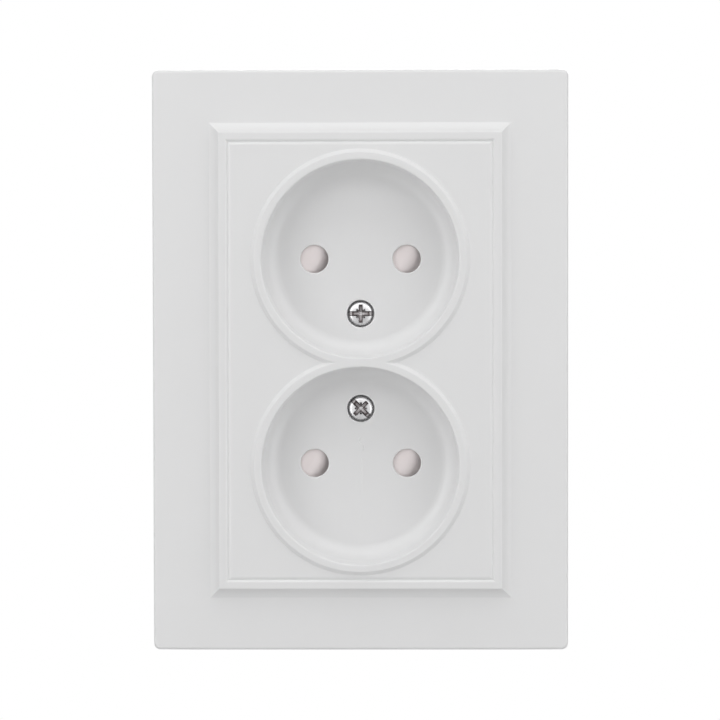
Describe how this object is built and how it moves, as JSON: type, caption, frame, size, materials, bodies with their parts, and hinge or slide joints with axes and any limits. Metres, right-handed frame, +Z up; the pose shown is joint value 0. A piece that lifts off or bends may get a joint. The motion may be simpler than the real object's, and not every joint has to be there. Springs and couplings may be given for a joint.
{
  "type": "double wall socket",
  "caption": "Flush wall socket with round recessed wells stacked in one cover, a raised rectangular frame, sprung pin shutters and a steel strap for a round wall box.",
  "frame": {"origin": "middle of the strap's screw slots in the wall plane, which is also the middle of the frame", "axes": "+X to the right as seen from the room, +Y into the wall, +Z up"},
  "size_m": [0.0846, 0.0365, 0.118],
  "materials": {
    "white_plastic": "smooth white moulded plastic with a soft sheen",
    "shutter_plastic": "pale moulded plastic",
    "base_plastic": "light grey insulating plastic",
    "plated_screw": "zinc plated steel",
    "strap_steel": "zinc plated steel sheet",
    "spring_steel": "bright spring steel",
    "brass": "plain rolled brass"
  },
  "bodies": {
    "socket": {"outer_frame": "white_plastic", "socket_cover": "white_plastic", "cover_screw_upper": "plated_screw", "cover_screw_lower": "plated_screw", "shutter_spring_upper": "spring_steel", "shutter_spring_lower": "spring_steel", "base_housing": "base_plastic", "shutter_carrier": "base_plastic", "rear_plate": "base_plastic", "rear_plate_screws": "plated_screw", "contact_strip_left": "brass", "contact_strip_right": "brass", "contact_clip_upper_left": "spring_steel", "contact_clip_upper_right": "spring_steel", "contact_clip_lower_left": "spring_steel", "contact_clip_lower_right": "spring_steel", "threaded_bush_upper": "brass", "threaded_bush_lower": "brass", "terminal_plate_left": "brass", "terminal_plate_right": "brass", "terminal_screw_left": "plated_screw", "terminal_screw_right": "plated_screw", "mounting_strap": "strap_steel", "strap_rivets": "strap_steel", "claw_pin_left": "strap_steel", "claw_pin_right": "strap_steel", "claw_screw_left": "plated_screw", "claw_screw_right": "plated_screw"},
    "shutter_upper": {"shutter_upper": "shutter_plastic"},
    "shutter_lower": {"shutter_lower": "shutter_plastic"},
    "claw_left": {"claw_left": "strap_steel"},
    "claw_right": {"claw_right": "strap_steel"}
  },
  "joints": [
    {"name": "shutter_upper_slide", "type": "slide", "parent": "socket", "child": "shutter_upper", "axis": [-1, 0, 0], "range_m": [0, 0.0059], "stiffness_N_per_m": 150, "springref_m": -0.004, "deforming": ["shutter_spring_upper"]},
    {"name": "shutter_lower_slide", "type": "slide", "parent": "socket", "child": "shutter_lower", "axis": [-1, 0, 0], "range_m": [0, 0.0059], "stiffness_N_per_m": 150, "springref_m": -0.004, "deforming": ["shutter_spring_lower"]},
    {"name": "claw_left_swing", "type": "hinge", "parent": "socket", "child": "claw_left", "pos_m": [-0.02695, 0.0032, 0], "axis": [0, 0, 1], "range_deg": [0, 20]},
    {"name": "claw_right_swing", "type": "hinge", "parent": "socket", "child": "claw_right", "pos_m": [0.02695, 0.0032, 0], "axis": [0, 0, -1], "range_deg": [0, 20]}
  ]
}
